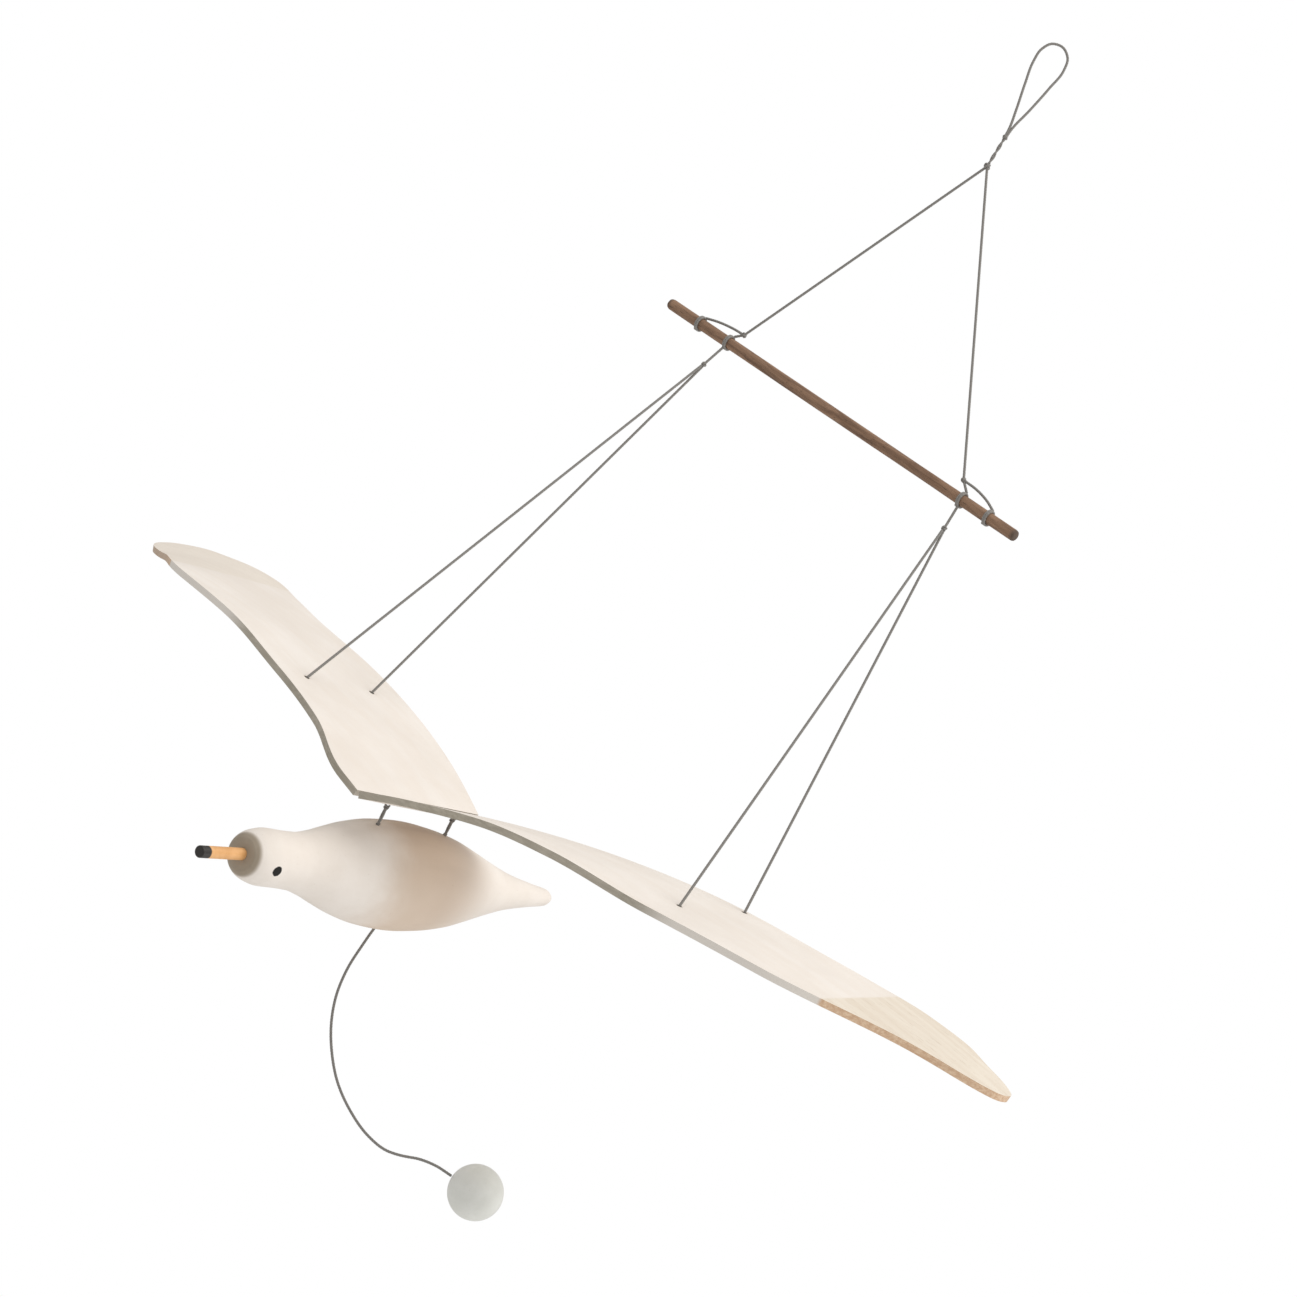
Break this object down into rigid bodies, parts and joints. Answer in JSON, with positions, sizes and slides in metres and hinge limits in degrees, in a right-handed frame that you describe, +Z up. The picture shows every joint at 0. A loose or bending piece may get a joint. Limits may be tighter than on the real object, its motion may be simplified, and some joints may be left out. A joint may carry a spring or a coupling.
{
  "type": "hanging bird sculpture",
  "caption": "Wooden gull that hangs by cords from a twig crossbar, with arched wings that flap when the cord under its turned body is pulled.",
  "frame": {"origin": "top of the hanging loop, where a hook or nail holds the mobile", "axes": "+Z up along the plumb line, +X the way the bird flies, +Y the bird's left"},
  "size_m": [0.2082, 0.4934, 0.5391],
  "materials": {
    "cord": "twisted dark fibre cord",
    "twig": "bare brown twig",
    "wing_paint": "matt off-white paint on wood, bare wood at the tips",
    "body_paint": "matt off-white paint on turned wood",
    "beak_paint": "matt orange paint with a black end",
    "ball_paint": "matt pale grey paint"
  },
  "bodies": {
    "hanger": {"hanging_loop": "cord", "loop_tie": "cord", "loop_stem": "cord", "apex_knot": "cord", "top_cord_left": "cord", "top_cord_right": "cord", "bridle_knot_left": "cord", "bridle_knot_right": "cord", "bridle_inner_left": "cord", "bridle_inner_right": "cord", "bridle_outer_left": "cord", "bridle_outer_right": "cord", "bar_lashing_inner_left": "cord", "bar_lashing_inner_right": "cord", "bar_lashing_outer_left": "cord", "bar_lashing_outer_right": "cord", "drop_cord_left": "cord", "drop_cord_right": "cord", "split_knot_left": "cord", "split_knot_right": "cord", "crossbar": "twig"},
    "sling_left": {"sling_cord_left_front": "cord", "sling_cord_left_rear": "cord"},
    "sling_right": {"sling_cord_right_front": "cord", "sling_cord_right_rear": "cord"},
    "wing_left": {"wing_left": "wing_paint", "stopper_knot_left_front": "cord", "stopper_knot_left_rear": "cord"},
    "wing_right": {"wing_right": "wing_paint", "stopper_knot_right_front": "cord", "stopper_knot_right_rear": "cord"},
    "bird": {"bird_body": "body_paint", "beak": "beak_paint", "hinge_tie_front": "cord", "hinge_tie_rear": "cord", "pull_cord": "cord", "pull_ball": "ball_paint"}
  },
  "joints": [
    {"name": "pull", "type": "slide", "parent": "hanger", "child": "bird", "axis": [-0.342, 0, -0.9397], "range_m": [-0.015, 0.02], "stiffness_N_per_m": 60, "springref_m": -0.01232},
    {"name": "sling_swing_left", "type": "hinge", "parent": "hanger", "child": "sling_left", "pos_m": [-0.02773, 0.08001, -0.2022], "axis": [0.9397, 0, -0.342], "range_deg": [-1.6, 1.2]},
    {"name": "sling_swing_right", "type": "hinge", "parent": "hanger", "child": "sling_right", "pos_m": [-0.02408, -0.06331, -0.19031], "axis": [0.9397, 0, -0.342], "range_deg": [-1.4, 1.8]},
    {"name": "wing_rock_left", "type": "hinge", "parent": "sling_left", "child": "wing_left", "pos_m": [-0.00433, 0.11542, -0.38779], "axis": [0.9397, 0, -0.342], "range_deg": [-8.6, 11.4]},
    {"name": "wing_rock_right", "type": "hinge", "parent": "sling_right", "child": "wing_right", "pos_m": [0.01585, -0.07845, -0.39814], "axis": [0.9397, 0, -0.342], "range_deg": [-16.6, 12.6]}
  ],
  "couplings": [
    {"joint": "sling_swing_left", "follows": "pull", "rad_per_m": -1.1542},
    {"joint": "sling_swing_right", "follows": "pull", "rad_per_m": 1.4009},
    {"joint": "wing_rock_left", "follows": "pull", "rad_per_m": 9.5954},
    {"joint": "wing_rock_right", "follows": "pull", "rad_per_m": -14.17}
  ]
}
